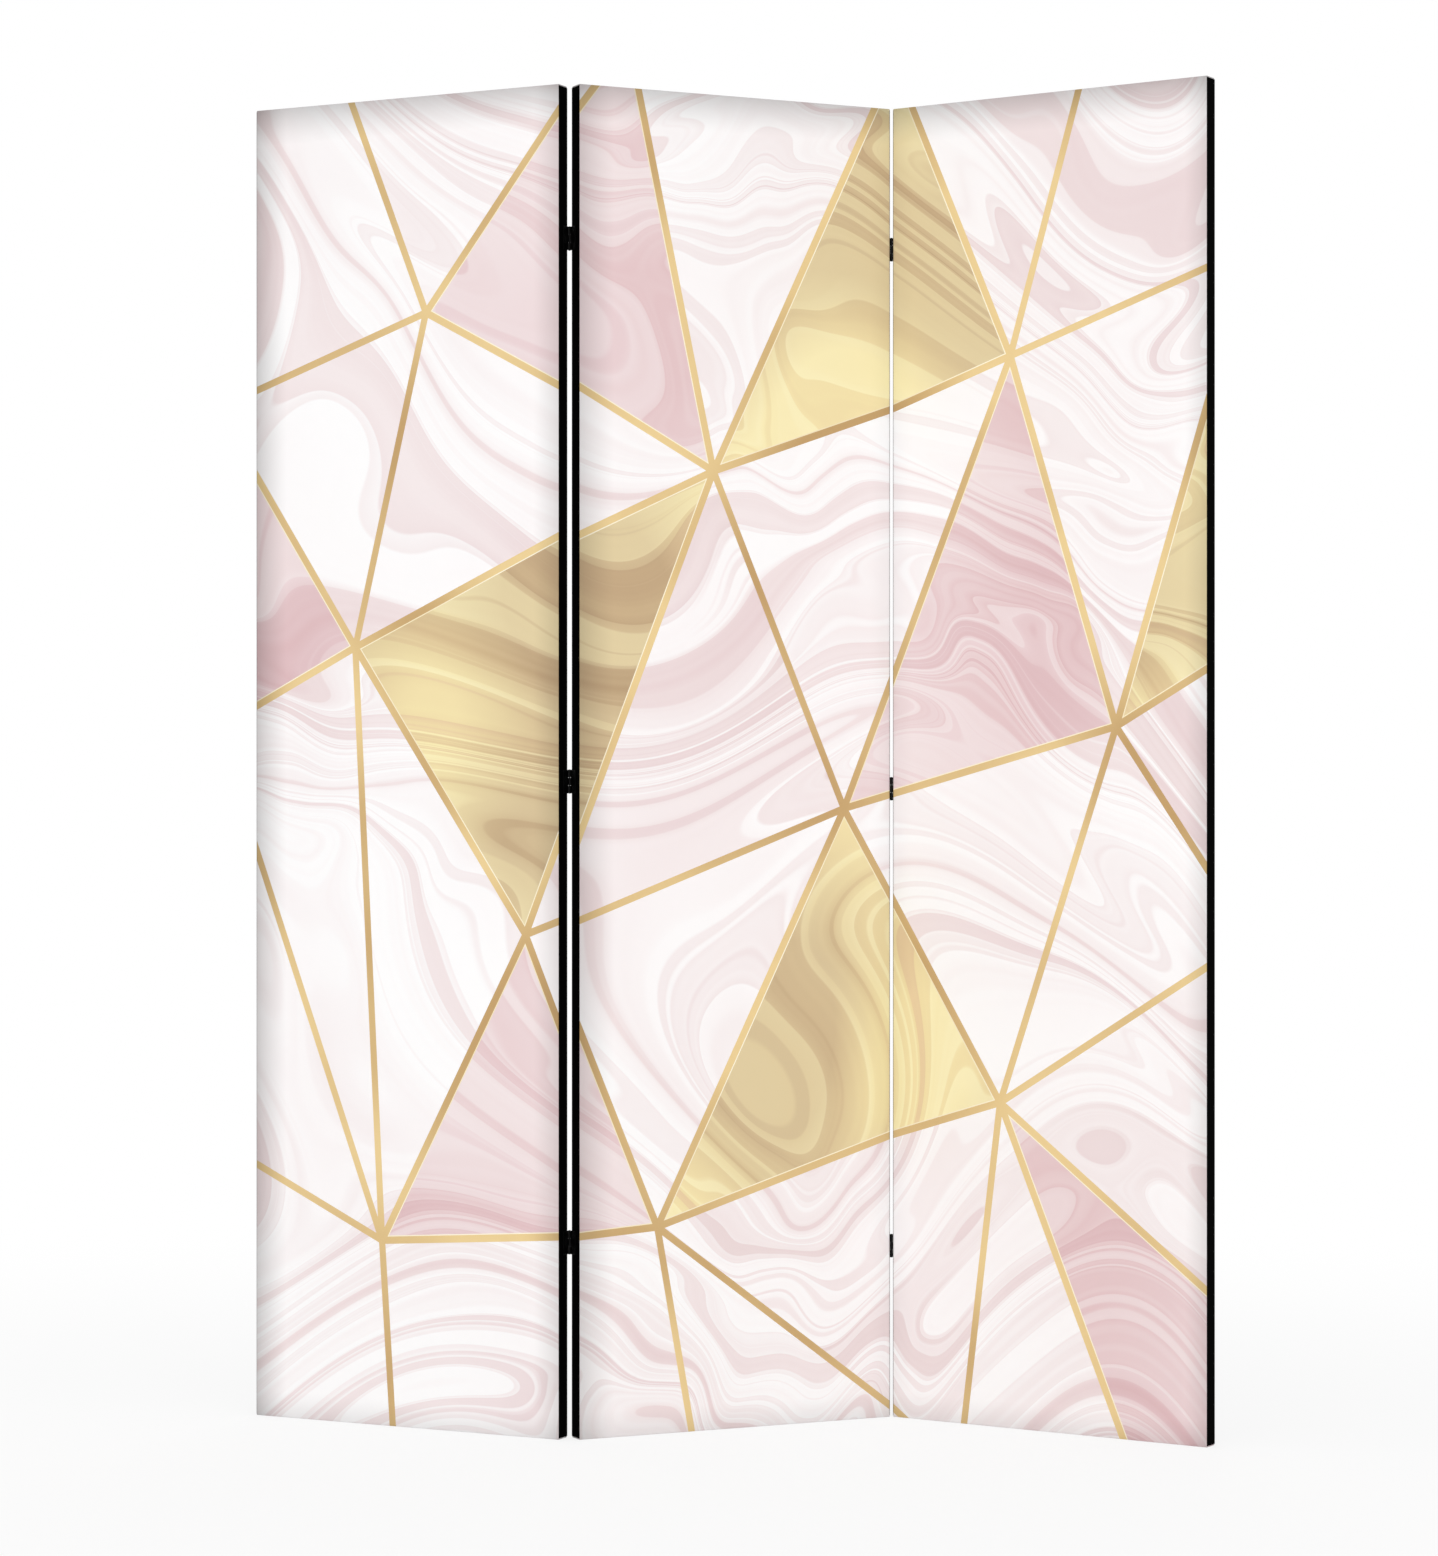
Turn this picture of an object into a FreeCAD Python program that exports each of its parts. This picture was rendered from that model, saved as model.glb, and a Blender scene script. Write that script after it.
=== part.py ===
import FreeCAD, Part
import math
import os
import re
import Sketcher

# A three-panel folding screen that stands on the floor in a zigzag.
# Each panel is a softwood frame of two stiles and four dowelled rails. A printed canvas is
# stretched over its front and turned in on its back, a black cloth closes the back, and black
# edge tape covers the sides. Three small butt hinges join each pair of panels. On the left
# joint their knuckles lie behind the panels, on the right joint in front of them, so the
# screen folds flat like a letter Z.
#
# Every panel is drawn in a frame of its own: x runs from its left to its right side as seen
# from the front, y from its front to its back, z up. The row's frame has z up, the front
# towards -y, and its origin on the floor under the middle of the whole screen.

# Driving sizes, in millimetres, and turns, in degrees: alias, value, what it is.
SIZES = [
    ("panel_width", 448, "one panel over its edge tapes"),
    ("panel_height", 1720, "one panel over its canvas"),
    ("panel_depth", 26.6, "one panel from canvas to edge tape"),
    ("left_turn", -26.5, "how far the left panel is turned from the x axis"),
    ("middle_turn", 24.5, "how far the middle panel is turned"),
    ("right_turn", -33, "how far the right panel is turned"),
    ("canvas_thickness", 0.8, "printed canvas with its coating"),
    ("cloth_thickness", 0.5, "black cloth on the back"),
    ("tape_thickness", 0.5, "black tape on the sides"),
    ("back_edge_radius", 3.5, "rounding of the back edges, over the tape"),
    ("front_edge_radius", 1.5, "rounding of the long front edges of the canvas"),
    ("canvas_rim_radius", 1, "rounding of the canvas along top and bottom"),
    ("canvas_flap", 30, "width of canvas folded onto the back"),
    ("cloth_side_margin", 8, "from the panel's side to the back cloth"),
    ("cloth_end_margin", 4, "from the panel's top or bottom to the back cloth"),
    ("tape_flap", 14, "width of the tape on the back"),
    ("tape_front_margin", 2, "bare canvas between the front and the tape"),
    ("tape_end_margin", 1.6, "from the panel's top or bottom to the tape"),
    ("bar_width", 38, "stiles and rails, seen from the front"),
    ("dowel_diameter", 8, "beech dowel"),
    ("dowel_length", 40, "beech dowel"),
    ("dowel_spacing", 18, "between the two dowels of one joint"),
    ("glue_film", 0.05, "between a dowel and its hole"),
    ("dowel_end_room", 1, "left free at each end of a dowel"),
    ("staple_crown", 11, "length of a staple's back"),
    ("staple_wire_width", 1.2, "flat staple wire"),
    ("staple_wire_depth", 0.5, "flat staple wire"),
    ("staple_leg", 7, "length of a staple's legs"),
    ("staple_pitch", 125, "greatest distance from staple to staple"),
    ("staple_first", 45, "from the end of a bar to its first staple"),
    ("hinge_height", 30, "butt hinge, along its pin"),
    ("leaf_width", 15, "from the pin's axis to the leaf's edge"),
    ("leaf_thickness", 0.8, "steel sheet of the hinge"),
    ("pin_diameter", 1.6, "hinge pin"),
    ("pin_clearance", 0.05, "all round the pin in its knuckles"),
    ("pin_head_diameter", 2.6, "riveted end of the pin"),
    ("pin_head_height", 0.4, "riveted end of the pin"),
    ("knuckle_gap", 0.3, "between the knuckles of the two leaves"),
    ("axis_overhang", 0.5, "how far the pin's axis lies beyond the panel's face"),
    ("left_top_drop", 193, "from the top to the top hinge of the left joint"),
    ("left_bottom_rise", 248, "from the floor to its bottom hinge"),
    ("right_top_drop", 185, "from the top to the top hinge of the right joint"),
    ("right_bottom_rise", 225, "from the floor to its bottom hinge"),
    ("screw_diameter", 2.5, "countersunk wood screw"),
    ("screw_length", 16, "countersunk wood screw"),
    ("screw_tip", 3, "length of the screw's point"),
    ("screw_head_diameter", 5, "countersunk wood screw"),
    ("screw_clearance", 0.05, "all round the screw in its hole"),
    ("screw_end_room", 1, "hole beyond the screw's point"),
    ("screw_inset", 9.5, "from the pin's axis to the screws"),
    ("screw_spacing", 17, "between the two screws of a leaf"),
    ("recess_span", 2.8, "cross recess in the screw's head"),
    ("recess_width", 0.6, "cross recess"),
    ("recess_depth", 0.8, "cross recess"),
    ("overrun", 1, "how far a cut runs past what it cuts"),
]

# Shares of the panel's height: places that follow it.
SHARES = [
    ("upper_rail_share", 0.667, "middle of the upper cross rail"),
    ("lower_rail_share", 0.333, "middle of the lower cross rail"),
    ("left_middle_share", 0.4855, "middle hinge of the left joint"),
    ("right_middle_share", 0.4802, "middle hinge of the right joint"),
]

# Sizes that follow from the driving ones: alias, formula, what it is.
DERIVED = [
    ("side_skin", "tape_thickness + canvas_thickness", "tape and canvas on a side"),
    ("back_skin", "side_skin + cloth_thickness", "canvas, cloth and tape on the back"),
    ("timber_width", "panel_width - 2 * side_skin", "wooden frame"),
    ("timber_depth", "panel_depth - canvas_thickness - back_skin", "wooden frame"),
    ("timber_height", "panel_height - 2 * canvas_thickness", "wooden frame"),
    ("timber_back", "canvas_thickness + timber_depth", "back face of the wooden frame"),
    ("timber_top", "panel_height - canvas_thickness", "top face of the wooden frame"),
    ("timber_edge_radius", "back_edge_radius - side_skin", "frame's outer back edges"),
    ("rail_start", "side_skin + bar_width", "where the rails meet the left stile"),
    ("rail_length", "timber_width - 2 * bar_width", "between the stiles"),
    ("top_rail_bottom", "panel_height - canvas_thickness - bar_width", "lower face"),
    ("upper_rail_bottom", "panel_height * upper_rail_share - bar_width / 2", "lower face"),
    ("lower_rail_bottom", "panel_height * lower_rail_share - bar_width / 2", "lower face"),
    ("bottom_rail_bottom", "canvas_thickness", "lower face"),
    ("canvas_width", "panel_width - 2 * tape_thickness", "over the canvas's sides"),
    ("canvas_depth", "panel_depth - tape_thickness - cloth_thickness", "front to turn-in"),
    ("canvas_edge_radius", "timber_edge_radius + canvas_thickness", "canvas's back edges"),
    ("window_side", "tape_thickness + canvas_flap", "side of the opening in the back"),
    ("cloth_width", "panel_width - 2 * cloth_side_margin", "black cloth"),
    ("cloth_height", "panel_height - 2 * cloth_end_margin", "black cloth"),
    ("cloth_back", "panel_depth - tape_thickness", "outer face of the cloth"),
    ("tape_height", "panel_height - 2 * tape_end_margin", "black tape"),
    ("knuckle_radius", "pin_diameter / 2 + pin_clearance + leaf_thickness", "hinge knuckle"),
    ("knuckle_length", "(hinge_height - 2 * knuckle_gap) / 3", "hinge knuckle"),
    ("leaf_neck", "knuckle_radius + knuckle_gap", "from the axis to the whole leaf"),
    ("head_taper", "(screw_head_diameter - screw_diameter) / 2", "height of a screw's head"),
    ("left_top_height", "panel_height - left_top_drop", "hinge centre above the floor"),
    ("left_middle_height", "panel_height * left_middle_share", "hinge centre"),
    ("left_bottom_height", "left_bottom_rise", "hinge centre"),
    ("right_top_height", "panel_height - right_top_drop", "hinge centre"),
    ("right_middle_height", "panel_height * right_middle_share", "hinge centre"),
    ("right_bottom_height", "right_bottom_rise", "hinge centre"),
]

PANELS = ("left_panel", "middle_panel", "right_panel")
RAILS = ("top_rail", "upper_rail", "lower_rail", "bottom_rail")
LEVELS = ("top", "middle", "bottom")
# Stiles and tapes: side, where it starts, where the tape's inside starts, its outer side.
STILES = [
    ("left", "side_skin", "XMin"),
    ("right", "panel_width - side_skin - bar_width", "XMax"),
]
TAPES = [
    ("left", "0", "tape_thickness", "XMin"),
    ("right", "panel_width - tape_flap", "panel_width - tape_flap - tape_thickness", "XMax"),
]
# Each joint: the face that its knuckles lie at, and the panel side that each leaf is on. The
# middle panel's leaves have two knuckles each and hold the pin.
JOINTS = {
    "left": ("back", {"left_panel": "right", "middle_panel": "left"}),
    "right": ("front", {"middle_panel": "right", "right_panel": "left"}),
}
ORIGIN = FreeCAD.Vector(0, 0, 0)
X_AXIS = FreeCAD.Vector(1, 0, 0)
Y_AXIS = FreeCAD.Vector(0, 1, 0)
Z_AXIS = FreeCAD.Vector(0, 0, 1)
NO_TURN = FreeCAD.Rotation()

doc = FreeCAD.newDocument("FoldingScreen")
sheet = doc.addObject("Spreadsheet::Sheet", "Sizes")
ALIASES = set()
parts = []


def fill_sheet():
    """Writes every size into the sheet and gives its cell an alias."""
    driving = [(alias, str(number), note) for alias, number, note in SIZES + SHARES]
    derived = [(alias, "=" + formula, note) for alias, formula, note in DERIVED]
    for row, (alias, text, note) in enumerate(driving + derived, 1):
        sheet.set(f"A{row}", alias.replace("_", " "))
        sheet.set(f"B{row}", text)
        sheet.setAlias(f"B{row}", alias)
        sheet.set(f"C{row}", note)
        ALIASES.add(alias)
    doc.recompute()


def size(alias):
    """A number from the sheet."""
    return float(sheet.get(alias))


def formula(text):
    """A formula in aliases, as the other objects of the document read it."""
    return re.sub(r"[a-z]\w*", lambda word: sheet.Name + "." + word.group(0), str(text))


def bind(thing, **formulas):
    """Binds properties of an object to formulas in the sheet's aliases."""
    for name, text in formulas.items():
        thing.setExpression(name, formula(text))


def stand_at(thing, corner):
    """Binds the place of an object to three formulas."""
    for letter, text in zip("xyz", corner):
        thing.setExpression("Placement.Base." + letter, formula(text))


def block(name, corner, extent):
    """A rectangular body: a rectangle sketched on the floor plane and padded upwards."""
    body = doc.addObject("PartDesign::Body", name)
    sketch = body.newObject("Sketcher::SketchObject", name + "_outline")
    plane = next(p for p in body.Origin.OriginFeatures if p.Role == "XY_Plane")
    sketch.AttachmentSupport = [(plane, "")]
    sketch.MapMode = "FlatFace"
    for letter, text in zip("xyz", corner):
        sketch.setExpression(".AttachmentOffset.Base." + letter, formula(text))
    points = [ORIGIN, X_AXIS, X_AXIS + Y_AXIS, Y_AXIS]
    for n, point in enumerate(points):
        sketch.addGeometry(Part.LineSegment(point, points[(n + 1) % 4]), False)
    for n in range(4):
        sketch.addConstraint(Sketcher.Constraint("Coincident", n, 2, (n + 1) % 4, 1))
    for n in (0, 2):
        sketch.addConstraint(Sketcher.Constraint("Horizontal", n))
    for n in (1, 3):
        sketch.addConstraint(Sketcher.Constraint("Vertical", n))
    sketch.addConstraint(Sketcher.Constraint("Coincident", 0, 1, -1, 1))
    along = sketch.addConstraint(Sketcher.Constraint("DistanceX", 0, 1, 0, 2, 1.0))
    across = sketch.addConstraint(Sketcher.Constraint("DistanceY", 1, 1, 1, 2, 1.0))
    sketch.setExpression(f"Constraints[{along}]", formula(extent[0]))
    sketch.setExpression(f"Constraints[{across}]", formula(extent[1]))
    pad = body.newObject("PartDesign::Pad", name + "_pad")
    pad.Profile = sketch
    bind(pad, Length=extent[2])
    return body


def same(a, b):
    """Whether two coordinates of one solid agree to six decimals."""
    return round(a - b, 6) == 0


def upright(x_side, y_side):
    """Picks the upright edge of a block at one corner of its bounding box."""
    def chosen(edge, box):
        ends = [vertex.Point for vertex in edge.Vertexes]
        at_corner = all(
            same(end.x, getattr(box, x_side)) and same(end.y, getattr(box, y_side)) for end in ends
        )
        return at_corner and len(ends) == 2 and not same(ends[0].z, ends[1].z)
    return chosen


def rim(edge, box):
    """Picks the edges round the top and the bottom face of a block."""
    levels = [vertex.Point.z for vertex in edge.Vertexes]
    return all(same(z, box.ZMin) for z in levels) or all(same(z, box.ZMax) for z in levels)


def back_rim(edge, box):
    """Picks the two edges of the rim that lie along the back of a block."""
    return rim(edge, box) and all(same(vertex.Point.y, box.YMax) for vertex in edge.Vertexes)


def round_edges(body, radius, *choices):
    """Rounds the edges of a body that one of the choices picks."""
    doc.recompute()
    base = body.Tip
    box = base.Shape.BoundBox
    names = [
        f"Edge{n}" for n, edge in enumerate(base.Shape.Edges, 1)
        if any(chosen(edge, box) for chosen in choices)
    ]
    fillet = body.newObject("PartDesign::Fillet", base.Name + "_round")
    fillet.Base = (base, names)
    bind(fillet, Radius=radius)


def box(name, corner, extent):
    thing = doc.addObject("Part::Box", name)
    bind(thing, Length=extent[0], Width=extent[1], Height=extent[2])
    stand_at(thing, corner)
    return thing


def cylinder(name, radius, height, corner=("0", "0", "0")):
    """An upright cylinder; the corner is the middle of its lower end."""
    thing = doc.addObject("Part::Cylinder", name)
    bind(thing, Radius=radius, Height=height)
    stand_at(thing, corner)
    return thing


def cone(name, low_radius, high_radius, height, corner=("0", "0", "0")):
    thing = doc.addObject("Part::Cone", name)
    bind(thing, Radius1=low_radius, Radius2=high_radius, Height=height)
    stand_at(thing, corner)
    return thing


def fuse(name, *things):
    whole = doc.addObject("Part::MultiFuse", name)
    whole.Shapes = list(things)
    return whole


def cut(name, base, tool):
    rest = doc.addObject("Part::Cut", name)
    rest.Base = base
    rest.Tool = tool
    return rest


def common(name, first, second):
    """What two things both fill."""
    shared = doc.addObject("Part::Common", name)
    shared.Base = first
    shared.Tool = second
    return shared


def profile(name, low, high, back, radius):
    """A block wider than a panel whose back edges are rounded along top and bottom."""
    body = block(
        name, ("-overrun", "-overrun", low),
        ("panel_width + 2 * overrun", back + " + overrun", f"{high} - {low}"),
    )
    round_edges(body, radius, back_rim)
    return body


def copies(name, original, places):
    """A group of copies of one piece, each a solid of its own."""
    group = doc.addObject("Part::Compound", name)
    group.Links = [copy(f"{name}_{n}", original, place) for n, place in enumerate(places)]
    return group


def copy(name, original, place):
    link = doc.addObject("App::Link", name)
    link.LinkedObject = original
    link.LinkTransform = True
    link.Placement = place
    return link


def keep(label, thing, place):
    """Makes a piece a node of the row, at its place in the screen."""
    thing.Label = label
    thing.Placement = place
    parts.append(thing)


def move(x, y, z, turn=NO_TURN):
    return FreeCAD.Placement(FreeCAD.Vector(x, y, z), turn)


def evenly(first, last, pitch):
    """Places from first to last, the same distance apart and no more than the pitch."""
    steps = math.ceil((last - first) / pitch)
    return [first + (last - first) * n / steps for n in range(steps + 1)]


# Pieces that all three panels share, drawn in the panel's frame.


def dowel_places():
    """Two dowels across each end of each rail, at half the frame's depth."""
    middle = size("canvas_thickness") + size("timber_depth") / 2
    left = size("rail_start")
    right = left + size("rail_length")
    across = FreeCAD.Rotation(Y_AXIS, 90)
    heights = [
        size(rail + "_bottom") + (size("bar_width") + up * size("dowel_spacing")) / 2
        for rail in RAILS for up in (-1, 1)
    ]
    return [move(x, middle, z, across) for z in heights for x in (left, right)]


def draw_frame(timber_profile):
    """The four rails, the two stiles and their dowels."""
    dowel = cylinder("dowel", "dowel_diameter / 2", "dowel_length", ("0", "0", "-dowel_length / 2"))
    hole = cylinder(
        "dowel_hole", "dowel_diameter / 2 + glue_film", "dowel_length + 2 * dowel_end_room",
        ("0", "0", "-dowel_length / 2 - dowel_end_room"),
    )
    places = dowel_places()
    holes = copies("dowel_holes", hole, places)
    bars = {"rail_dowels": copies("dowels", dowel, places)}
    for rail in RAILS:
        bar = block(
            rail + "_bar", ("rail_start", "canvas_thickness", rail + "_bottom"),
            ("rail_length", "timber_depth", "bar_width"),
        )
        bars[rail] = cut(rail + "_drilled", common(rail + "_rounded", bar, timber_profile), holes)
    for side, start, outer in STILES:
        bar = block(
            side + "_stile_bar", (start, "canvas_thickness", "canvas_thickness"),
            ("bar_width", "timber_depth", "timber_height"),
        )
        round_edges(bar, "timber_edge_radius", upright(outer, "YMax"))
        rounded = common(side + "_stile_rounded", bar, timber_profile)
        bars[side + "_stile"] = cut(side + "_stile_drilled", rounded, holes)
    return bars


def draw_canvas(timber_profile):
    """The printed canvas: its front, its folded sides and its turned-in margin in one."""
    outside = block(
        "canvas_outside", ("tape_thickness", "0", "0"),
        ("canvas_width", "canvas_depth", "panel_height"),
    )
    round_edges(outside, "front_edge_radius", upright("XMin", "YMin"), upright("XMax", "YMin"))
    round_edges(outside, "canvas_edge_radius", upright("XMin", "YMax"), upright("XMax", "YMax"))
    round_edges(outside, "canvas_rim_radius", rim)
    canvas_profile = profile(
        "canvas_profile", "0", "panel_height", "canvas_depth", "canvas_edge_radius"
    )
    inside = block(
        "canvas_inside", ("side_skin", "canvas_thickness", "canvas_thickness"),
        ("timber_width", "timber_depth", "timber_height"),
    )
    round_edges(inside, "timber_edge_radius", upright("XMin", "YMax"), upright("XMax", "YMax"))
    shell = cut(
        "canvas_shell", common("canvas_outside_rounded", outside, canvas_profile),
        common("canvas_inside_rounded", inside, timber_profile),
    )
    window = box(
        "back_window", ("window_side", "panel_depth / 2", "canvas_flap"),
        ("panel_width - 2 * window_side", "panel_depth", "panel_height - 2 * canvas_flap"),
    )
    return cut("canvas", shell, window)


def draw_cloth():
    """The black cloth that closes the back."""
    return block(
        "cloth", ("cloth_side_margin", "canvas_depth", "cloth_end_margin"),
        ("cloth_width", "cloth_thickness", "cloth_height"),
    )


def draw_tape(side, outer_start, inner_start, outer, profiles):
    """Black tape over one side of the panel, lapped round the rounded edge onto the back."""
    outside = block(
        side + "_tape_outside", (outer_start, "tape_front_margin", "tape_end_margin"),
        ("tape_flap", "panel_depth - tape_front_margin", "tape_height"),
    )
    round_edges(outside, "back_edge_radius", upright(outer, "YMax"))
    inside = block(
        side + "_tape_inside",
        (inner_start, "tape_front_margin - overrun", "tape_end_margin - overrun"),
        ("tape_flap", "cloth_back - tape_front_margin + overrun", "tape_height + 2 * overrun"),
    )
    round_edges(inside, "back_edge_radius - tape_thickness", upright(outer, "YMax"))
    rounded = [
        common(f"{side}_tape_rounded_{n}", thing, face)
        for n, (thing, face) in enumerate(zip((outside, inside), profiles))
    ]
    return cut(side + "_tape", *rounded)


def staple_places():
    """Staples down both stiles and along the top and bottom rail, over the cloth."""
    back = size("cloth_back")
    inset = (size("tape_flap") + size("rail_start")) / 2
    rise = size("canvas_thickness") + size("bar_width") / 2
    first = size("staple_first")
    ends = size("panel_height") - first
    sides = size("panel_width") - size("rail_start") - first
    upright_crown = FreeCAD.Rotation(Y_AXIS, 90)
    down = [
        move(x, back, z, upright_crown)
        for x in (inset, size("panel_width") - inset)
        for z in evenly(first, ends, size("staple_pitch"))
    ]
    along = [
        move(x, back, z)
        for z in (rise, size("panel_height") - rise)
        for x in evenly(size("rail_start") + first, sides, size("staple_pitch"))
    ]
    return down + along


def draw_staples():
    crown = box(
        "staple_back", ("-staple_crown / 2", "0", "-staple_wire_width / 2"),
        ("staple_crown", "staple_wire_depth", "staple_wire_width"),
    )
    legs = [
        box(
            f"staple_leg_{n}", (start, "-staple_leg", "-staple_wire_width / 2"),
            ("staple_wire_depth", "staple_leg", "staple_wire_width"),
        )
        for n, start in enumerate(("-staple_crown / 2", "staple_crown / 2 - staple_wire_depth"))
    ]
    return copies("staples", fuse("staple", crown, *legs), staple_places())


# Hinge pieces. The pin's axis is the z axis and the hinge is centred on the origin. The leaf
# lies against a panel's side at -x and runs towards -y.


def draw_screw():
    """A countersunk wood screw with a cross recess, its head at the origin, pointing up."""
    head = cone("screw_head", "screw_head_diameter / 2", "screw_diameter / 2", "head_taper")
    shank = cylinder(
        "screw_shank", "screw_diameter / 2", "screw_length - head_taper - screw_tip",
        ("0", "0", "head_taper"),
    )
    point = cone(
        "screw_point", "screw_diameter / 2", "0", "screw_tip", ("0", "0", "screw_length - screw_tip")
    )
    slots = [
        box("recess_long", ("-recess_span / 2", "-recess_width / 2", "-overrun"),
            ("recess_span", "recess_width", "recess_depth + overrun")),
        box("recess_cross", ("-recess_width / 2", "-recess_span / 2", "-overrun"),
            ("recess_width", "recess_span", "recess_depth + overrun")),
    ]
    return cut("screw", fuse("screw_blank", head, shank, point), fuse("recess", *slots))


def draw_screw_hole():
    """What a screw needs clear: its countersink and its bore."""
    mouth = cylinder(
        "hole_mouth", "screw_head_diameter / 2 + screw_clearance", "overrun", ("0", "0", "-overrun")
    )
    sink = cone(
        "hole_sink", "screw_head_diameter / 2 + screw_clearance",
        "screw_diameter / 2 + screw_clearance", "head_taper",
    )
    bore = cylinder(
        "hole_bore", "screw_diameter / 2 + screw_clearance", "screw_length + screw_end_room"
    )
    return fuse("screw_hole", mouth, sink, bore)


def screw_places():
    """The two screws of a leaf, seen from the hinge."""
    x = size("leaf_thickness") - size("knuckle_radius")
    inwards = FreeCAD.Rotation(Y_AXIS, -90)
    return [
        move(x, -size("screw_inset"), up * size("screw_spacing") / 2, inwards) for up in (-1, 1)
    ]


def draw_leaf(name, knuckle_starts, holes):
    """A hinge leaf: a plate with its knuckles rolled round the pin."""
    plate = box(
        name + "_plate", ("-knuckle_radius", "-leaf_width", "-hinge_height / 2"),
        ("leaf_thickness", "leaf_width - leaf_neck", "hinge_height"),
    )
    pieces = [plate]
    for n, start in enumerate(knuckle_starts):
        pieces.append(box(
            f"{name}_neck_{n}", ("-knuckle_radius", "-leaf_neck", start),
            ("leaf_thickness", "leaf_neck", "knuckle_length"),
        ))
        pieces.append(cylinder(
            f"{name}_knuckle_{n}", "knuckle_radius", "knuckle_length", ("0", "0", start)
        ))
    bore = cylinder(
        name + "_bore", "pin_diameter / 2 + pin_clearance", "hinge_height + 2 * overrun",
        ("0", "0", "-hinge_height / 2 - overrun"),
    )
    bored = cut(name + "_bored", fuse(name + "_blank", *pieces), bore)
    return cut(name, bored, holes)


def draw_pin():
    """The hinge pin with its two riveted ends."""
    shaft = cylinder(
        "pin_shaft", "pin_diameter / 2", "hinge_height", ("0", "0", "-hinge_height / 2")
    )
    rivets = [
        cylinder(f"pin_rivet_{n}", "pin_head_diameter / 2", "pin_head_height", ("0", "0", start))
        for n, start in enumerate(("hinge_height / 2", "-hinge_height / 2 - pin_head_height"))
    ]
    return fuse("pin", shaft, *rivets)


def seat(side, face, joint, level):
    """Where a hinge sits on a panel: on which side, with its pin at which face, how high."""
    x = size("panel_width") + size("knuckle_radius")
    y = size("panel_depth") + size("axis_overhang")
    z = size(f"{joint}_{level}_height")
    if side == "right" and face == "back":
        return move(x, y, z)
    if side == "left" and face == "back":
        return move(-size("knuckle_radius"), y, z, FreeCAD.Rotation(Y_AXIS, 180))
    if side == "right":
        return move(x, -size("axis_overhang"), z, FreeCAD.Rotation(X_AXIS, 180))
    return move(-size("knuckle_radius"), -size("axis_overhang"), z, FreeCAD.Rotation(Z_AXIS, 180))


def panel_places():
    """The three panels in the zigzag: each outer one meets the middle one at its hinge axis."""
    turns = {name: FreeCAD.Rotation(Z_AXIS, size(name.replace("panel", "turn"))) for name in PANELS}
    middle = FreeCAD.Placement(ORIGIN, turns["middle_panel"])
    places = {"middle_panel": middle}
    for joint, (face, sides) in JOINTS.items():
        outer = joint + "_panel"
        axis = middle.multVec(seat(sides["middle_panel"], face, joint, "top").Base)
        own_axis = turns[outer].multVec(seat(sides[outer], face, joint, "top").Base)
        places[outer] = FreeCAD.Placement(axis - own_axis, turns[outer])
    return places


def draw_panel(panel, place, shared, screw, screw_hole):
    """One panel with the screws of its hinges."""
    canvas = copy(panel + "_canvas_blank", shared["canvas"], move(0, 0, 0))
    pieces = {side + "_stile": shared[side + "_stile"] for side, *rest in STILES}
    pieces.update({side + "_edge_tape": shared[side + "_tape"] for side, *rest in TAPES})
    pieces["printed_canvas"] = canvas
    for joint, (face, sides) in JOINTS.items():
        if panel not in sides:
            continue
        side = sides[panel]
        seats = [seat(side, face, joint, level) for level in LEVELS]
        places = [where.multiply(screw_place) for where in seats for screw_place in screw_places()]
        name = f"{panel}_{joint}_hinge_screws"
        holes = copies(name + "_holes", screw_hole, places)
        for piece in (side + "_stile", side + "_edge_tape", "printed_canvas"):
            pieces[piece] = cut(f"{panel}_{joint}_{piece}_cut", pieces[piece], holes)
        keep(name, copies(name + "_group", screw, places), place)
    pieces.update({name: shared[name] for name in RAILS + ("rail_dowels", "backing_cloth", "staples")})
    for name, piece in pieces.items():
        keep(f"{panel}_{name}", copy(f"{panel}_{name}_piece", piece, move(0, 0, 0)), place)


def draw_hinges(places, leaves, pin):
    """Every leaf and pin, each on the panel that carries it."""
    for joint, (face, sides) in JOINTS.items():
        for level in LEVELS:
            for (panel, side), hand in zip(sides.items(), ("left", "right")):
                here = places[panel].multiply(seat(side, face, joint, level))
                leaf = leaves["outer" if panel == "middle_panel" else "inner"]
                name = f"{joint}_joint_{level}_hinge"
                keep(f"{name}_{hand}_leaf", copy(f"{name}_{hand}_leaf_piece", leaf, here), here)
                if panel == "middle_panel":
                    keep(name + "_pin", copy(name + "_pin_piece", pin, here), here)


def centre_on_floor():
    """Moves every node so that the origin lies under the middle of the screen."""
    doc.recompute()
    whole = FreeCAD.BoundBox()
    for thing in parts:
        whole.add(thing.Shape.optimalBoundingBox(False, False))
    shift = move(-whole.Center.x, -whole.Center.y, 0)
    for thing in parts:
        thing.Placement = shift.multiply(thing.Placement)
    doc.recompute()
    return shift


def check():
    """Stops before anything is written if an object failed or a piece has no good solid."""
    for thing in doc.Objects:
        if "Invalid" in thing.State or "Error" in thing.State:
            raise RuntimeError(f"{thing.Label} failed: {thing.State}")
    for thing in parts:
        if thing.Shape.isNull() or not thing.Shape.isValid() or not thing.Shape.Solids:
            raise RuntimeError(thing.Label + " has no valid solid")


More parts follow.
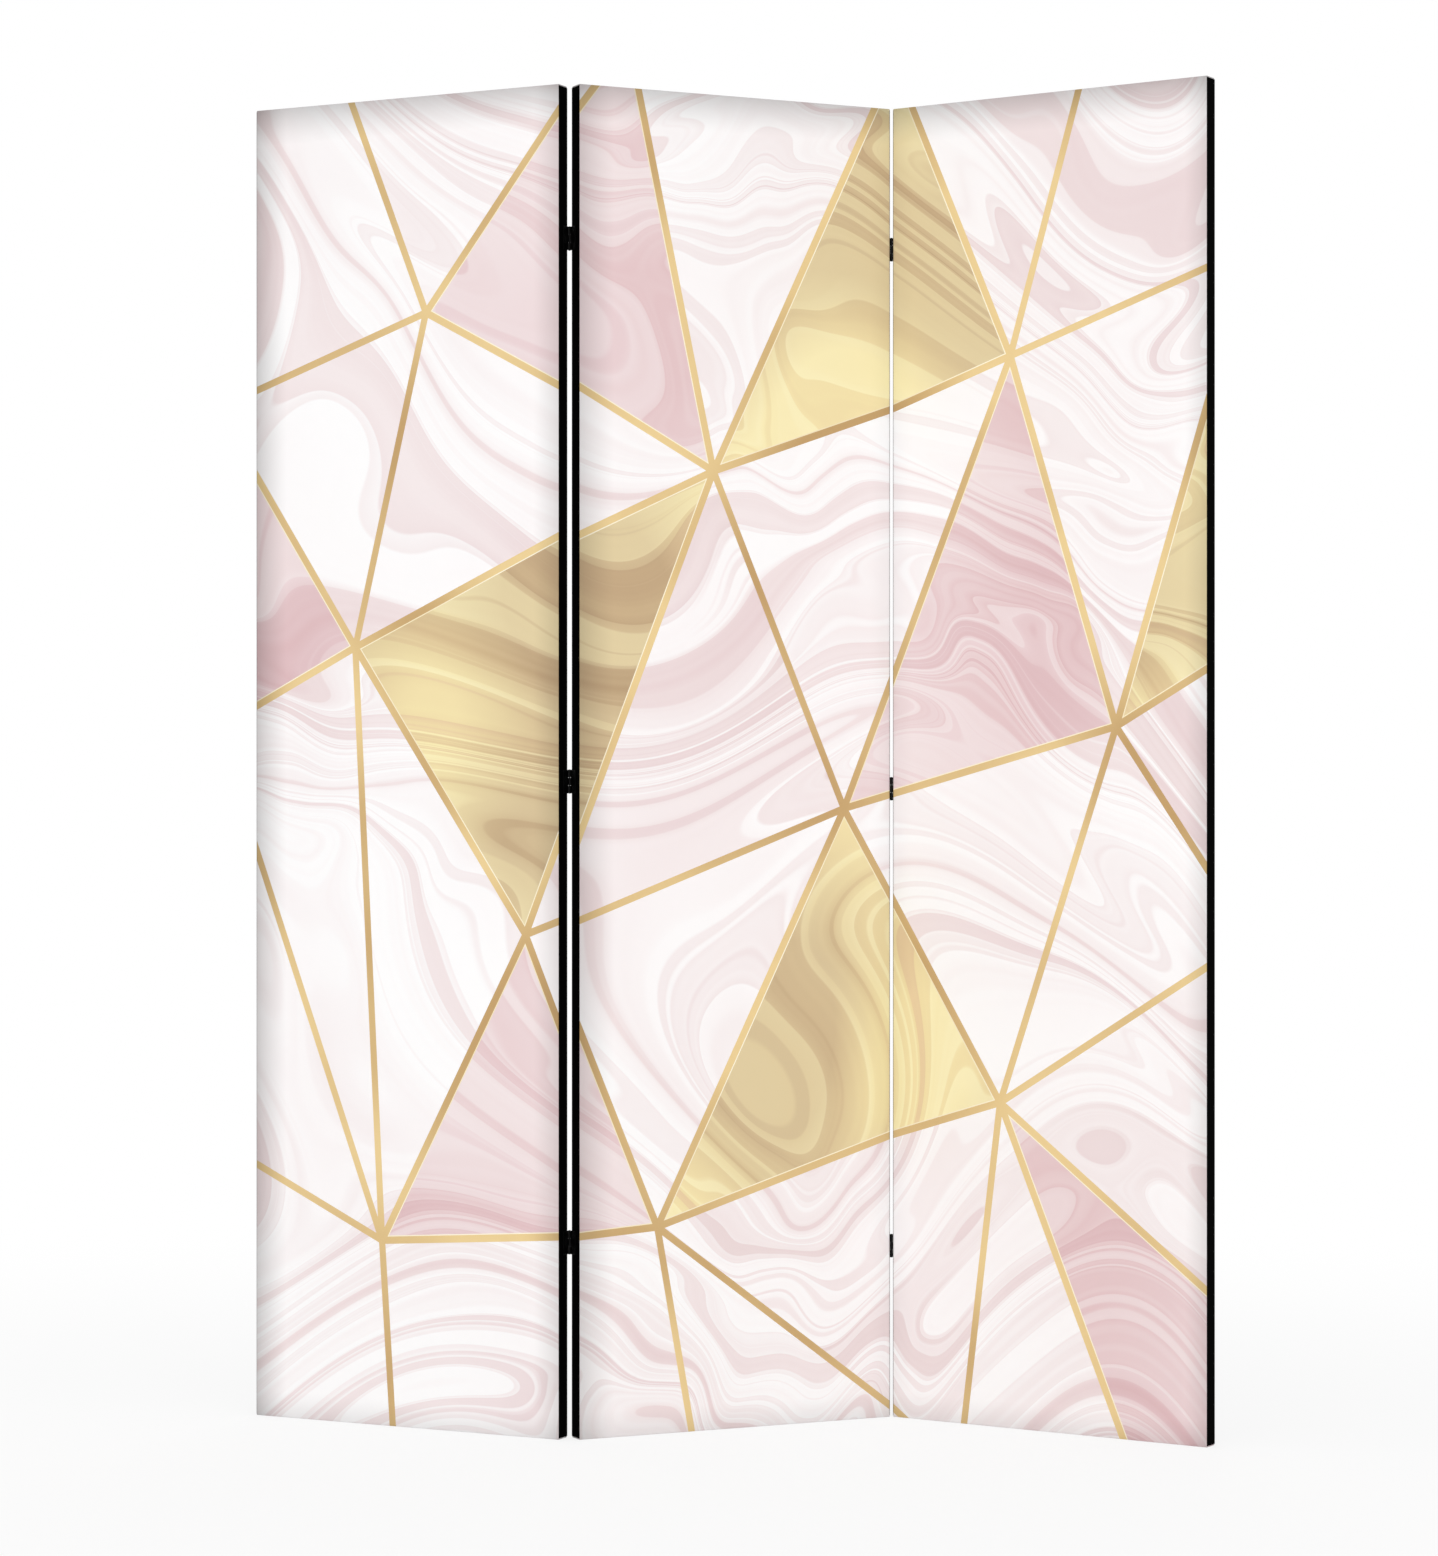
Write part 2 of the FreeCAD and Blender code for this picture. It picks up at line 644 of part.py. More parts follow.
def main():
    fill_sheet()
    timber_profile = profile(
        "timber_profile", "canvas_thickness", "timber_top", "timber_back", "timber_edge_radius"
    )
    shared = draw_frame(timber_profile)
    shared["canvas"] = draw_canvas(timber_profile)
    shared["backing_cloth"] = draw_cloth()
    shared["staples"] = draw_staples()
    tape_profiles = (
        profile("tape_face", "0", "panel_height", "panel_depth", "back_edge_radius"),
        profile("tape_bed", "0", "panel_height", "cloth_back", "back_edge_radius - tape_thickness"),
    )
    for side, outer_start, inner_start, outer in TAPES:
        shared[side + "_tape"] = draw_tape(side, outer_start, inner_start, outer, tape_profiles)
    screw = draw_screw()
    screw_hole = draw_screw_hole()
    leaf_holes = copies("leaf_holes", screw_hole, screw_places())
    leaves = {
        "outer": draw_leaf(
            "outer_leaf", ("-hinge_height / 2", "hinge_height / 2 - knuckle_length"), leaf_holes
        ),
        "inner": draw_leaf("inner_leaf", ("-knuckle_length / 2",), leaf_holes),
    }
    pin = draw_pin()
    places = panel_places()
    for panel in PANELS:
        draw_panel(panel, places[panel], shared, screw, screw_hole)
    draw_hinges(places, leaves, pin)
    shift = centre_on_floor()
    check()
    os.makedirs("parts", exist_ok=True)
    for thing in parts:
        thing.Shape.exportStep(f"parts/{thing.Label}.step")
    for joint, (face, sides) in JOINTS.items():
        axis = shift.multiply(places["middle_panel"]).multVec(
            seat(sides["middle_panel"], face, joint, "top").Base
        )
        print(f"{joint} hinge axis at x {axis.x:.4f}, y {axis.y:.4f}")
    flat_back = size("canvas_depth") - size("canvas_edge_radius")
    for panel in PANELS:
        foot = shift.multiply(places[panel]).multVec(
            FreeCAD.Vector(size("panel_width") / 2, (size("canvas_rim_radius") + flat_back) / 2, 0)
        )
        print(f"{panel} stands at x {foot.x:.4f}, y {foot.y:.4f}")
    print(f"{len(parts)} nodes")


main()
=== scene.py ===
import math

import bmesh
import bpy
from mathutils import Matrix, Vector, noise


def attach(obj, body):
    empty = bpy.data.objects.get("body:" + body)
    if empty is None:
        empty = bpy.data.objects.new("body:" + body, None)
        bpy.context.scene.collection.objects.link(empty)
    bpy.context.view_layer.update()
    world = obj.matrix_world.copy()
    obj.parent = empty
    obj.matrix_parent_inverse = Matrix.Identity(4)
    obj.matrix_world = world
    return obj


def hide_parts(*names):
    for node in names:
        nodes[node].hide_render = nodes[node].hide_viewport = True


# A folding screen of three panels: softwood frames under printed canvas, black cloth on the
# backs, black tape on the sides, small black hinges between the panels.
# The wooden bars, dowels, staples, screws and hinges keep their own solids and get their
# finishes here. The canvas, the back cloth and the edge tape are modelled here as cloth.

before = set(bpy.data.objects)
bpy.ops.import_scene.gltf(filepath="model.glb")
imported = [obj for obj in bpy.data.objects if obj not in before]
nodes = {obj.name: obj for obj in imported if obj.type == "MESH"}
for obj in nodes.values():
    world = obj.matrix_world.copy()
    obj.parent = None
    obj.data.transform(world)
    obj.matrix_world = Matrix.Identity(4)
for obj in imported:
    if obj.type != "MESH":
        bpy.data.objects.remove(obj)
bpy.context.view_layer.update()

MM = 0.001
UP = Vector((0, 0, 1))
PANELS = ("left_panel", "middle_panel", "right_panel")
RAILS = ("top_rail", "upper_rail", "lower_rail", "bottom_rail")
SIDES = ("left", "right")

# Sizes that aren't read from the solids, in metres.
HINGE_GAP = 3.3 * MM
CANVAS_THICKNESS = 0.8 * MM
CLOTH_THICKNESS = 0.5 * MM
TAPE_THICKNESS = 0.5 * MM
TAPE_FRONT_MARGIN = 0.8 * MM
FRONT_EDGE_RADIUS = 1.0 * MM
BACK_EDGE_RADIUS = 3.0 * MM
CANVAS_FLAP = 30 * MM
TAPE_FLAP = 14 * MM
TAPE_BEND_RADIUS = 3.5 * MM

# The print. Its corners, in millimetres from the lower left corner of the whole picture, run
# past the panels on every side, so the picture goes on round their edges.
LINE_WIDTH = 9.4 * MM
HAIRLINE_WIDTH = 1.4 * MM
CORNERS = {
    "T0": (-60, 1780), "T1": (120, 1780), "T2": (520, 1780), "T3": (905, 1780),
    "T4": (1190, 1780), "T5": (1410, 1780), "L1": (-60, 1330), "L2": (-60, 905),
    "L3": (-60, 360), "L4": (-60, -60), "R1": (1410, 1500), "R2": (1410, 1010),
    "R3": (1410, 640), "R4": (1410, 150), "R5": (1410, -60), "B1": (210, -60),
    "B2": (620, -60), "B3": (1000, -60), "B4": (1260, -60), "a": (255, 1440),
    "b": (640, 1235), "c": (1075, 1385), "d": (150, 1010), "e": (830, 800),
    "f": (1225, 905), "g": (400, 640), "h": (560, 265), "i": (1060, 420), "j": (190, 240),
}
# Each facet of the print: its ink and its corners, counter-clockwise seen from the front.
FACETS = [
    ("white", "T0 L1 a T1"), ("blush", "T1 a T2"), ("rose", "T2 a b"), ("white", "T2 b T3"),
    ("gold", "T3 b c"), ("white", "T3 c T4"), ("blush", "T4 c R1 T5"), ("white", "c f R1"),
    ("gold", "R1 f R2"), ("white", "b e c"), ("rose", "c e f"), ("blush", "f R3 R2"),
    ("white", "f i R3"), ("white", "e i f"), ("blush", "i R4 R3"), ("rose", "i B4 R5 R4"),
    ("white", "i B3 B4"), ("blush", "h B3 i"), ("white", "h B2 B3"), ("gold", "e h i"),
    ("white", "g h e"), ("blush", "b g e"), ("gold", "d g b"), ("white", "a d b"),
    ("white", "L1 d a"), ("rose", "L1 L2 d"), ("white", "L2 j d"), ("blush", "L2 L3 j"),
    ("white", "d j g"), ("rose", "j h g"), ("white", "L3 L4 B1 j"), ("white", "j B1 B2 h"),
]
INKS = ("white", "blush", "rose", "gold", "line", "hairline")
# Painted shade along each side of each panel, standing in for the canvas rounding off over the
# frame: how much darker the print's colour is made there, and how many millimetres that reaches
# inwards. The corners of the mesh carry the painted shade, so the canvas is cut at some shares of
# that reach. The power says how steeply the painted shade grows towards the edge.
PAINTED_EDGE_SHADES = {
    "left_panel": {
        "left": (0.41, 46), "right": (0.25, 36), "top": (0.39, 48), "bottom": (0.19, 34),
    },
    "middle_panel": {
        "left": (0.33, 48), "right": (0.07, 30), "top": (0.39, 48), "bottom": (0.18, 34),
    },
    "right_panel": {
        "left": (0.07, 30), "right": (0.23, 30), "top": (0.39, 48), "bottom": (0.17, 34),
    },
}
SHADE_CUT_SHARES = (0.08, 0.2, 0.35, 0.5, 0.66, 0.82, 1.0)
SHADE_POWER = 1.2
# The marbling. Its curls: how many there are in a metre, and how wide they sway it in metres.
CURLS = ((1.4, 0.55), (4.2, 0.07))
# The turn and the stretch of its bands, and how many of them its slope and its hills make.
BAND_TURN = math.radians(28)
BAND_STRETCH = (0.85, 2.3, 1)
HILLS_PER_METRE = 1.25
BANDS_BY_SLOPE = 4
BANDS_BY_HILLS = 9
# How often in a metre the print drifts from its lighter to its deeper colours.
DRIFTS_PER_METRE = 3


def linear(hex_colour):
    """An sRGB hex colour as the linear colour that a shader takes."""
    channels = [int(hex_colour[n:n + 2], 16) / 255 for n in (1, 3, 5)]
    return [c / 12.92 if c <= 0.04045 else ((c + 0.055) / 1.055) ** 2.4 for c in channels] + [1]


# The panels' own frames: x to the right, y to the back, z up, from the front left foot.


def panel_matrix(panel):
    """Turns places in a panel's own frame into places in the row's frame."""
    cloth = nodes[panel + "_backing_cloth"].data
    face = max(cloth.polygons, key=lambda polygon: polygon.area)
    back = face.normal if face.normal.y > 0 else -face.normal
    right = back.cross(UP)
    points = [vertex.co for vertex in nodes[panel + "_printed_canvas"].data.vertices]
    corner = sum(
        (axis * min(axis.dot(point) for point in points) for axis in (right, back, UP)), Vector()
    )
    matrix = Matrix((right, back, UP)).transposed().to_4x4()
    matrix.translation = corner
    return matrix


def own_box(node, matrix):
    """A node's lowest and highest corner in its panel's own frame."""
    inverse = matrix.inverted()
    points = [inverse @ vertex.co for vertex in nodes[node].data.vertices]
    return [
        Vector([limit(point[axis] for point in points) for axis in range(3)])
        for limit in (min, max)
    ]


# Small helpers for modelling in edit mode.


def pick(piece):
    """Makes the piece the only one that operators act on."""
    bpy.ops.object.select_all(action="DESELECT")
    piece.select_set(True)
    bpy.context.view_layer.objects.active = piece


def start_edit(piece, mode="EDGE"):
    pick(piece)
    bpy.ops.object.mode_set(mode="EDIT")
    bpy.ops.mesh.select_mode(type=mode)


def stop_edit():
    bpy.ops.object.mode_set(mode="OBJECT")


def choose(piece, kind, wanted):
    """Selects the edges or faces of the piece in edit mode that wanted() says yes to."""
    bpy.ops.mesh.select_all(action="DESELECT")
    mesh = bmesh.from_edit_mesh(piece.data)
    for item in getattr(mesh, kind):
        if wanted(item):
            item.select_set(True)
    mesh.select_flush_mode()
    bmesh.update_edit_mesh(piece.data)


def cut(point, normal, **clear):
    """Cuts the whole mesh in edit mode along a plane."""
    bpy.ops.mesh.select_all(action="SELECT")
    bpy.ops.mesh.bisect(plane_co=point, plane_no=normal, threshold=1e-7, **clear)


def near(a, b):
    return abs(a - b) < 0.01 * MM


def give_thickness(piece, thickness):
    """Turns a sheet whose faces point outwards into a thin closed body under those faces."""
    solid = piece.modifiers.new("thickness", "SOLIDIFY")
    solid.thickness = thickness
    solid.offset = -1
    solid.use_even_offset = False
    pick(piece)
    bpy.ops.object.modifier_apply(modifier=solid.name)


def lay_flat(mesh, flat_place):
    """Gives a cloth the map that its weave follows: where each point lies on the flat piece."""
    places = mesh.uv_layers.get("UVMap") or mesh.uv_layers.new()
    places.name = "cloth"
    for loop in mesh.loops:
        places.data[loop.index].uv = flat_place(mesh.vertices[loop.vertex_index].co)


def face_outwards(piece, front):
    """Makes all faces agree, with the given direction outwards."""
    start_edit(piece, "FACE")
    bpy.ops.mesh.select_all(action="SELECT")
    bpy.ops.mesh.remove_doubles(threshold=0.01 * MM)
    bpy.ops.mesh.normals_make_consistent(inside=False)
    stop_edit()
    largest = max(piece.data.polygons, key=lambda polygon: polygon.area)
    if largest.normal.dot(front) < 0:
        piece.data.flip_normals()


def put_on_panel(piece, panel, matrix, node):
    """Places a finished piece, hides the solid that it stands for, and attaches it to what it moves
    with.
    """
    piece.data.transform(matrix)
    pick(piece)
    bpy.ops.object.shade_smooth_by_angle(angle=math.radians(30))
    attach(piece, panel)
    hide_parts(node)


# Materials.


def add(tree, kind, inputs=None, **settings):
    """Adds a node; inputs holds values, or outputs of other nodes to link from."""
    node = tree.nodes.new(kind)
    for name, value in settings.items():
        setattr(node, name, value)
    for name, value in (inputs or {}).items():
        if isinstance(value, bpy.types.NodeSocket):
            tree.links.new(value, node.inputs[name])
        else:
            node.inputs[name].default_value = value
    return node


def new_material(name):
    """A material with its Principled shader."""
    material = bpy.data.materials.new(name)
    material.use_nodes = True
    tree = material.node_tree
    return material, tree, tree.nodes["Principled BSDF"]


def fill_ramp(ramp_node, stops):
    """Sets the stops of a Color Ramp: (place, hex colour)."""
    ramp = ramp_node.color_ramp
    while len(ramp.elements) > 1:
        ramp.elements.remove(ramp.elements[-1])
    for n, (place, colour) in enumerate(stops):
        element = ramp.elements[0] if n == 0 else ramp.elements.new(place)
        element.position = place
        element.color = linear(colour)
    return ramp_node.outputs["Color"]


def shifted(tree, place, curls_per_metre, reach):
    """The place, moved sideways by up to about half the reach in soft curls.

    The noise seldom leaves the middle third of its range, so it counts three times.
    """
    curls = add(
        tree, "ShaderNodeTexNoise", {"Vector": place, "Scale": curls_per_metre, "Detail": 0.0}
    )
    centred = add(
        tree, "ShaderNodeVectorMath",
        {0: curls.outputs["Color"], 1: (0.5, 0.5, 0.5)}, operation="SUBTRACT",
    )
    moved = add(
        tree, "ShaderNodeVectorMath",
        {0: centred.outputs[0], 1: (reach * 3, reach * 3, 0), 2: place}, operation="MULTIPLY_ADD",
    )
    return moved.outputs[0]


def swirl(tree, place):
    """The flowing bands of the marbling, 0 to 1, continuous over the whole print.

    Curls bend a surface that rises slowly across the bands and has soft hills. Its contour
    lines are drawn as bands and fine streaks of uneven width.
    """
    curled = place
    for curls_per_metre, reach in CURLS:
        curled = shifted(tree, curled, curls_per_metre, reach)
    along = add(
        tree, "ShaderNodeMapping",
        {"Vector": curled, "Rotation": (0, 0, BAND_TURN), "Scale": BAND_STRETCH},
    )
    hills = add(
        tree, "ShaderNodeTexNoise",
        {"Vector": along.outputs[0], "Scale": HILLS_PER_METRE, "Detail": 1.0, "Roughness": 0.3},
    )
    across = add(tree, "ShaderNodeSeparateXYZ", {0: along.outputs[0]})
    slope = add(
        tree, "ShaderNodeMath", {0: across.outputs["Y"], 1: BANDS_BY_SLOPE}, operation="MULTIPLY"
    )
    level = add(
        tree, "ShaderNodeMath", {0: hills.outputs["Fac"], 1: BANDS_BY_HILLS, 2: slope.outputs[0]},
        operation="MULTIPLY_ADD",
    )
    bands = add(
        tree, "ShaderNodeTexNoise",
        {"W": level.outputs[0], "Scale": 1.0, "Detail": 2.6, "Roughness": 0.5, "Lacunarity": 2.6},
        noise_dimensions="1D",
    )
    return bands.outputs["Fac"]


def weave_bump(tree, place, pitch, strength, depth):
    """Threads that cross each other at the given pitch, as a normal."""
    turns = 2 * math.pi / pitch
    split = add(tree, "ShaderNodeSeparateXYZ", {0: place})
    waves = []
    for axis in ("X", "Y"):
        phase = add(tree, "ShaderNodeMath", {0: split.outputs[axis], 1: turns}, operation="MULTIPLY")
        waves.append(add(tree, "ShaderNodeMath", {0: phase.outputs[0]}, operation="SINE").outputs[0])
    height = add(tree, "ShaderNodeMath", {0: waves[0], 1: waves[1]}, operation="MULTIPLY")
    bump = add(
        tree, "ShaderNodeBump",
        {"Height": height.outputs[0], "Strength": strength, "Distance": depth},
    )
    return bump.outputs["Normal"]


def print_material(ink, stops, deep_stops):
    """Satin pigment print on primed polyester canvas: matt, with the weave just showing.

    The bands of the marbling take their colours from the stops; a slow drift over the picture
    turns towards the second, deeper set.
    """
    material, tree, shader = new_material("printed canvas, " + ink)
    place = add(tree, "ShaderNodeUVMap", uv_map="print").outputs["UV"]
    bands = swirl(tree, place)
    light = fill_ramp(add(tree, "ShaderNodeValToRGB", {"Fac": bands}), stops)
    deep = fill_ramp(add(tree, "ShaderNodeValToRGB", {"Fac": bands}), deep_stops)
    drift = add(
        tree, "ShaderNodeTexNoise", {"Vector": place, "Scale": DRIFTS_PER_METRE, "Detail": 0.0}
    )
    drift_share = add(
        tree, "ShaderNodeMapRange",
        {"Value": drift.outputs["Fac"], "From Min": 0.38, "From Max": 0.62},
    )
    drifted = add(
        tree, "ShaderNodeMix", {0: drift_share.outputs[0], 6: light, 7: deep}, data_type="RGBA"
    )
    finish_print(tree, shader, place, drifted.outputs[2])
    return material


def finish_print(tree, shader, place, colour):
    """Paints shade into the print's colour towards the panel's edges and gives it the canvas's
    surface.
    """
    # Painted shade: the colour is multiplied by the darkening stored on the canvas's points.
    painted_shade = add(tree, "ShaderNodeAttribute", attribute_name="painted_shade")
    shaded = add(
        tree, "ShaderNodeVectorMath", {0: colour, 1: painted_shade.outputs["Vector"]}, operation="MULTIPLY"
    )
    tree.links.new(shaded.outputs[0], shader.inputs["Base Color"])
    shader.inputs["Roughness"].default_value = 0.62
    shader.inputs["Specular IOR Level"].default_value = 0.25
    # The real thread pitch is 0.5 mm; it is drawn twice as coarse so that it shows up close.
    normal = weave_bump(tree, place, pitch=1.0 * MM, strength=0.25, depth=0.1 * MM)
    tree.links.new(normal, shader.inputs["Normal"])


def line_material(ink, light, dark):
    """The same print where it is a plain stripe of gold or cream ink, slightly uneven."""
    material, tree, shader = new_material("printed canvas, " + ink)
    place = add(tree, "ShaderNodeUVMap", uv_map="print").outputs["UV"]
    drift = add(
        tree, "ShaderNodeTexNoise", {"Vector": place, "Scale": DRIFTS_PER_METRE, "Detail": 1.0}
    )
    colour = fill_ramp(
        add(tree, "ShaderNodeValToRGB", {"Fac": drift.outputs["Fac"]}),
        [(0.34, dark), (0.60, light)],
    )
    finish_print(tree, shader, place, colour)
    return material


def print_materials():
    white = [
        (0.22, "#EFDFDF"), (0.34, "#F3E6E6"), (0.35, "#F8F1F1"), (0.43, "#FCF8F8"), (0.50, "#FEFDFD"),
        (0.54, "#FEFDFD"), (0.55, "#F8F1F1"), (0.60, "#FBF7F7"), (0.61, "#F2E5E5"), (0.72, "#F5EAEA"),
    ]
    blush = [
        (0.22, "#E8D3D4"), (0.35, "#ECDADB"), (0.36, "#F3E7E7"), (0.44, "#F7EEEE"), (0.45, "#FCF8F8"),
        (0.51, "#FEFCFC"), (0.52, "#F3E7E7"), (0.58, "#F6EDED"), (0.59, "#EBDADA"), (0.74, "#EFE0E0"),
    ]
    rose = [
        (0.22, "#E1C1C3"), (0.34, "#E6CCCE"), (0.35, "#EBD7D8"), (0.43, "#EFDDDE"), (0.44, "#F3E6E6"),
        (0.52, "#F1E2E2"), (0.53, "#EAD3D4"), (0.60, "#EEDCDD"), (0.61, "#E6CACC"), (0.74, "#EBD6D7"),
    ]
    gold = [
        (0.22, "#E2C798"), (0.34, "#EAD4A3"), (0.35, "#F0DEAA"), (0.43, "#F4E4AF"), (0.44, "#F9ECB8"),
        (0.52, "#FBF0C0"), (0.53, "#F4E3AE"), (0.60, "#F1DEAA"), (0.61, "#EACFA4"), (0.74, "#EFDAA8"),
    ]
    deep_white = [
        (0.22, "#EAD6D7"), (0.35, "#EEDEDE"), (0.36, "#F5EBEB"), (0.44, "#F9F3F3"), (0.50, "#FCF8F8"),
        (0.54, "#FDFAFA"), (0.55, "#F4EAEA"), (0.60, "#F8F1F1"), (0.61, "#ECDBDC"), (0.72, "#F1E3E3"),
    ]
    deep_rose = [
        (0.22, "#DBB7BA"), (0.34, "#E0C0C3"), (0.35, "#E5CACC"), (0.43, "#E9D1D3"), (0.44, "#EEDCDD"),
        (0.52, "#EBD6D7"), (0.53, "#E3C4C6"), (0.60, "#E8CFD0"), (0.61, "#DEBBBE"), (0.74, "#E4C7C9"),
    ]
    deep_gold = [
        (0.22, "#B99D79"), (0.34, "#C5AB86"), (0.35, "#D0B992"), (0.43, "#D7C29A"), (0.44, "#E0CDA2"),
        (0.52, "#E2D0A5"), (0.53, "#D4BD95"), (0.60, "#CFB790"), (0.61, "#C2A682"), (0.74, "#CBB18A"),
    ]
    return [
        print_material("white marbling", white, deep_white),
        print_material("blush marbling", blush, deep_white),
        print_material("rose marbling", rose, deep_rose),
        print_material("gold marbling", gold, deep_gold),
        line_material("gold stripe", "#EDD197", "#C4A06C"),
        line_material("cream hairline", "#FFF6DC", "#F6E7C0"),
    ]


def black_cloth_material():
    """Spunbonded polypropylene: black, quite matt, cloudy, with small pressed dots and fibres."""
    material, tree, shader = new_material("spunbonded polypropylene cloth, black")
    place = add(tree, "ShaderNodeUVMap", uv_map="cloth").outputs["UV"]
    # The real bonding dots lie 2 mm apart, drawn 4 mm apart so that they show, in slanting rows.
    turned = add(
        tree, "ShaderNodeMapping", {"Vector": place, "Rotation": (0, 0, math.radians(45))}
    )
    dots = add(
        tree, "ShaderNodeTexVoronoi",
        {"Vector": turned.outputs[0], "Scale": 1 / (4 * MM), "Randomness": 0.0},
    )
    pressed = add(
        tree, "ShaderNodeMapRange",
        {"Value": dots.outputs["Distance"], "From Min": 0.2, "From Max": 0.36},
    )
    # Fibres lie in tangles of about 3 mm, and more of them in clouds of about 40 mm.
    fibres = add(
        tree, "ShaderNodeTexNoise",
        {
            "Vector": place, "Scale": 1 / (3 * MM), "Detail": 4.0, "Roughness": 0.65,
            "Distortion": 1.5,
        },
    )
    clouds = add(
        tree, "ShaderNodeTexNoise",
        {"Vector": place, "Scale": 1 / (40 * MM), "Detail": 3.0, "Roughness": 0.6},
    )
    density = add(
        tree, "ShaderNodeMath", {0: fibres.outputs["Fac"], 1: clouds.outputs["Fac"]},
        operation="MULTIPLY",
    )
    colour = fill_ramp(
        add(tree, "ShaderNodeValToRGB", {"Fac": density.outputs[0]}),
        [(0.12, "#09090A"), (0.38, "#1B1B1C")],
    )
    fine = add(
        tree, "ShaderNodeMath", {0: pressed.outputs[0], 1: fibres.outputs["Fac"]},
        operation="MULTIPLY",
    )
    bump = add(
        tree, "ShaderNodeBump", {"Height": fine.outputs[0], "Strength": 0.6, "Distance": 0.3 * MM}
    )
    tree.links.new(colour, shader.inputs["Base Color"])
    tree.links.new(bump.outputs["Normal"], shader.inputs["Normal"])
    shader.inputs["Roughness"].default_value = 0.72
    shader.inputs["Specular IOR Level"].default_value = 0.25
    shader.inputs["Sheen Weight"].default_value = 0.08
    return material


def black_tape_material():
    """Woven polyester tape: deep black, with a fine diagonal rib and no gloss."""
    material, tree, shader = new_material("woven polyester tape, black")
    place = add(tree, "ShaderNodeUVMap", uv_map="cloth").outputs["UV"]
    # Ribs every 0.9 mm, turned 60 degrees from the tape's length. A wave repeats every pi / 10
    # at a scale of 1.
    ribs = add(
        tree, "ShaderNodeMapping", {"Vector": place, "Rotation": (0, 0, math.radians(60))}
    )
    wave = add(
        tree, "ShaderNodeTexWave",
        {
            "Vector": ribs.outputs[0], "Scale": math.pi / 10 / (0.9 * MM), "Distortion": 0.6,
            "Detail": 1.0,
        },
    )
    colour = fill_ramp(
        add(tree, "ShaderNodeValToRGB", {"Fac": wave.outputs["Fac"]}),
        [(0.0, "#010101"), (1.0, "#060606")],
    )
    bump = add(
        tree, "ShaderNodeBump",
        {"Height": wave.outputs["Fac"], "Strength": 0.35, "Distance": 0.1 * MM},
    )
    tree.links.new(colour, shader.inputs["Base Color"])
    tree.links.new(bump.outputs["Normal"], shader.inputs["Normal"])
    shader.inputs["Roughness"].default_value = 0.9
    shader.inputs["Specular IOR Level"].default_value = 0.01
    return material


def wood_material(name, light, dark, turn):
    """Planed softwood or turned beech: pale, with long growth lines and fine pores.

    The turn brings the direction of the grain onto the pattern's x axis.
    """
    material, tree, shader = new_material(name)
    place = add(tree, "ShaderNodeTexCoord").outputs["Object"]
    along = add(tree, "ShaderNodeMapping", {"Vector": place, "Rotation": turn})
    # Growth lines about 5 mm apart, forty times as long as that, and pores nine times as fine.
    stretched = add(
        tree, "ShaderNodeMapping", {"Vector": along.outputs[0], "Scale": (5, 200, 200)}
    )
    rings = add(
        tree, "ShaderNodeTexNoise",
        {"Vector": stretched.outputs[0], "Scale": 1.0, "Detail": 3.0, "Distortion": 0.4},
    )
    pores = add(
        tree, "ShaderNodeTexNoise", {"Vector": stretched.outputs[0], "Scale": 9.0, "Detail": 2.0}
    )
    grain = add(
        tree, "ShaderNodeMix", {0: 0.3, 2: rings.outputs["Fac"], 3: pores.outputs["Fac"]}
    )
    colour = fill_ramp(
        add(tree, "ShaderNodeValToRGB", {"Fac": grain.outputs[0]}),
        [(0.36, dark), (0.52, light)],
    )
    rough = add(
        tree, "ShaderNodeMapRange", {"Value": grain.outputs[0], "To Min": 0.6, "To Max": 0.48}
    )
    bump = add(
        tree, "ShaderNodeBump", {"Height": grain.outputs[0], "Strength": 0.25, "Distance": 0.3 * MM}
    )
    tree.links.new(colour, shader.inputs["Base Color"])
    tree.links.new(rough.outputs[0], shader.inputs["Roughness"])
    tree.links.new(bump.outputs["Normal"], shader.inputs["Normal"])
    return material


def lacquered_steel_material():
    """Pressed steel sheet in black stoving lacquer: satin, with a faint orange peel."""
    material, tree, shader = new_material("stoved black lacquer on pressed steel")
    place = add(tree, "ShaderNodeTexCoord").outputs["Object"]
    peel = add(
        tree, "ShaderNodeTexNoise", {"Vector": place, "Scale": 1 / (1.2 * MM), "Detail": 2.0}
    )
    colour = fill_ramp(
        add(tree, "ShaderNodeValToRGB", {"Fac": peel.outputs["Fac"]}),
        [(0.3, "#020202"), (0.7, "#050505")],
    )
    rough = add(
        tree, "ShaderNodeMapRange", {"Value": peel.outputs["Fac"], "To Min": 0.42, "To Max": 0.56}
    )
    bump = add(
        tree, "ShaderNodeBump",
        {"Height": peel.outputs["Fac"], "Strength": 0.2, "Distance": 0.05 * MM},
    )
    tree.links.new(colour, shader.inputs["Base Color"])
    tree.links.new(rough.outputs[0], shader.inputs["Roughness"])
    tree.links.new(bump.outputs["Normal"], shader.inputs["Normal"])
    shader.inputs["Specular IOR Level"].default_value = 0.1
    return material


